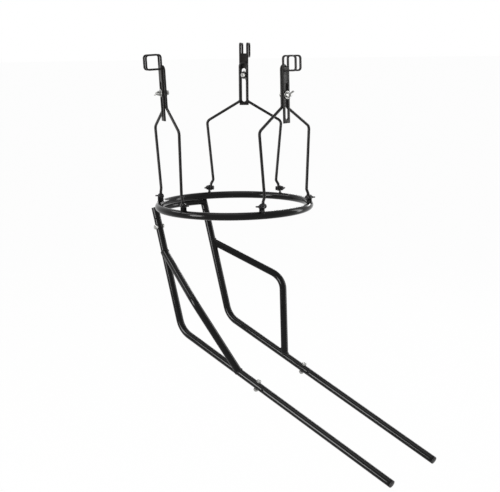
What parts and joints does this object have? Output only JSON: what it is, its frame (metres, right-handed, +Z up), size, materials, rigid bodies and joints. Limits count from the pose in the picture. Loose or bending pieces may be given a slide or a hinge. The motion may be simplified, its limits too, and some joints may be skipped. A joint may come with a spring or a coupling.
{
  "type": "basketball return chute",
  "caption": "Black tube ring and two-rail chute that hang from a basketball hoop on bent wire yokes with forked hook clips, and return the ball forwards.",
  "frame": {"origin": "centre of the circle of the hoop's round bar that the clips hook over, at the height of the bar's centre", "axes": "+X the way the chute sends the ball, +Y to the left of that way, +Z up"},
  "size_m": [0.5625, 0.308, 0.7495],
  "materials": {
    "black_tube": "gloss black powder coat",
    "black_wire": "satin black powder coat",
    "black_clip": "satin black coat on pressed strip",
    "black_hardware": "black plated",
    "bright_zinc": "bright zinc plated",
    "black_plastic": "moulded, fine grain"
  },
  "bodies": {
    "ring_frame": {"ring_tube": "black_tube", "arc_tube": "black_tube", "rail_stub_left": "black_tube", "rail_left": "black_tube", "brace_left": "black_tube", "extension_left": "black_tube", "end_plug_left": "black_plastic", "upper_bolt_left": "bright_zinc", "upper_nut_left": "bright_zinc", "lower_bolt_left": "bright_zinc", "lower_nut_left": "bright_zinc", "rail_stub_right": "black_tube", "rail_right": "black_tube", "brace_right": "black_tube", "extension_right": "black_tube", "end_plug_right": "black_plastic", "upper_bolt_right": "bright_zinc", "upper_nut_right": "bright_zinc", "lower_bolt_right": "bright_zinc", "lower_nut_right": "bright_zinc", "ear_front_a": "black_tube", "ear_bolt_front_a": "black_hardware", "ear_front_b": "black_tube", "ear_bolt_front_b": "black_hardware", "ear_rear_right_a": "black_tube", "ear_bolt_rear_right_a": "black_hardware", "ear_rear_right_b": "black_tube", "ear_bolt_rear_right_b": "black_hardware", "ear_rear_left_a": "black_tube", "ear_bolt_rear_left_a": "black_hardware", "ear_rear_left_b": "black_tube", "ear_bolt_rear_left_b": "black_hardware"},
    "yoke_front": {"yoke_front": "black_wire"},
    "clip_front": {"clip_front": "black_clip", "clip_bolt_front": "bright_zinc", "clip_washer_front": "bright_zinc", "clip_inner_washer_front": "black_hardware"},
    "clip_wing_nut_front": {"clip_wing_nut_front": "bright_zinc"},
    "ear_wing_nut_front_a": {"ear_wing_nut_front_a": "black_hardware"},
    "ear_wing_nut_front_b": {"ear_wing_nut_front_b": "black_hardware"},
    "yoke_rear_right": {"yoke_rear_right": "black_wire"},
    "clip_rear_right": {"clip_rear_right": "black_clip", "clip_bolt_rear_right": "bright_zinc", "clip_washer_rear_right": "bright_zinc", "clip_inner_washer_rear_right": "black_hardware"},
    "clip_wing_nut_rear_right": {"clip_wing_nut_rear_right": "bright_zinc"},
    "ear_wing_nut_rear_right_a": {"ear_wing_nut_rear_right_a": "black_hardware"},
    "ear_wing_nut_rear_right_b": {"ear_wing_nut_rear_right_b": "black_hardware"},
    "yoke_rear_left": {"yoke_rear_left": "black_wire"},
    "clip_rear_left": {"clip_rear_left": "black_clip", "clip_bolt_rear_left": "bright_zinc", "clip_washer_rear_left": "bright_zinc", "clip_inner_washer_rear_left": "black_hardware"},
    "clip_wing_nut_rear_left": {"clip_wing_nut_rear_left": "bright_zinc"},
    "ear_wing_nut_rear_left_a": {"ear_wing_nut_rear_left_a": "black_hardware"},
    "ear_wing_nut_rear_left_b": {"ear_wing_nut_rear_left_b": "black_hardware"}
  },
  "joints": [
    {"name": "yoke_front_pivot", "type": "hinge", "parent": "ring_frame", "child": "yoke_front", "pos_m": [0.12384, 0, -0.256], "axis": [0, 1, 0], "range_deg": [-15, 90]},
    {"name": "clip_front_slide", "type": "slide", "parent": "yoke_front", "child": "clip_front", "axis": [-0.014, 0, 0.9999], "range_m": [-0.0185, 0.0469]},
    {"name": "clip_wing_nut_front_turn", "type": "hinge", "parent": "clip_front", "child": "clip_wing_nut_front", "pos_m": [0.12928, 0, -0.06141], "axis": [0.9999, 0, 0.014], "continuous": true},
    {"name": "ear_wing_nut_front_a_turn", "type": "hinge", "parent": "ring_frame", "child": "ear_wing_nut_front_a", "pos_m": [0.12384, -0.0733, -0.256], "axis": [0, -1, 0], "continuous": true},
    {"name": "ear_wing_nut_front_b_turn", "type": "hinge", "parent": "ring_frame", "child": "ear_wing_nut_front_b", "pos_m": [0.12384, 0.0733, -0.256], "axis": [0, 1, 0], "continuous": true},
    {"name": "yoke_rear_right_pivot", "type": "hinge", "parent": "ring_frame", "child": "yoke_rear_right", "pos_m": [-0.06192, -0.10725, -0.256], "axis": [0.866, -0.5, 0], "range_deg": [-15, 90]},
    {"name": "clip_rear_right_slide", "type": "slide", "parent": "yoke_rear_right", "child": "clip_rear_right", "axis": [-0.0218, -0.0378, 0.999], "range_m": [-0.0235, 0.0419]},
    {"name": "clip_wing_nut_rear_right_turn", "type": "hinge", "parent": "clip_rear_right", "child": "clip_wing_nut_rear_right", "pos_m": [-0.07034, -0.12184, -0.05704], "axis": [-0.4995, -0.8652, -0.0436], "continuous": true},
    {"name": "ear_wing_nut_rear_right_a_turn", "type": "hinge", "parent": "ring_frame", "child": "ear_wing_nut_rear_right_a", "pos_m": [-0.1254, -0.0706, -0.256], "axis": [-0.866, 0.5, 0], "continuous": true},
    {"name": "ear_wing_nut_rear_right_b_turn", "type": "hinge", "parent": "ring_frame", "child": "ear_wing_nut_rear_right_b", "pos_m": [0.00156, -0.1439, -0.256], "axis": [0.866, -0.5, 0], "continuous": true},
    {"name": "yoke_rear_left_pivot", "type": "hinge", "parent": "ring_frame", "child": "yoke_rear_left", "pos_m": [-0.06192, 0.10725, -0.256], "axis": [-0.866, -0.5, 0], "range_deg": [-15, 90]},
    {"name": "clip_rear_left_slide", "type": "slide", "parent": "yoke_rear_left", "child": "clip_rear_left", "axis": [-0.0131, 0.0227, 0.9997], "range_m": [-0.047, 0.0184]},
    {"name": "clip_wing_nut_rear_left_turn", "type": "hinge", "parent": "clip_rear_left", "child": "clip_wing_nut_rear_left", "pos_m": [-0.06891, 0.11936, -0.03329], "axis": [-0.4998, 0.8657, -0.0262], "continuous": true},
    {"name": "ear_wing_nut_rear_left_a_turn", "type": "hinge", "parent": "ring_frame", "child": "ear_wing_nut_rear_left_a", "pos_m": [0.00156, 0.1439, -0.256], "axis": [0.866, 0.5, 0], "continuous": true},
    {"name": "ear_wing_nut_rear_left_b_turn", "type": "hinge", "parent": "ring_frame", "child": "ear_wing_nut_rear_left_b", "pos_m": [-0.1254, 0.0706, -0.256], "axis": [-0.866, -0.5, 0], "continuous": true}
  ]
}
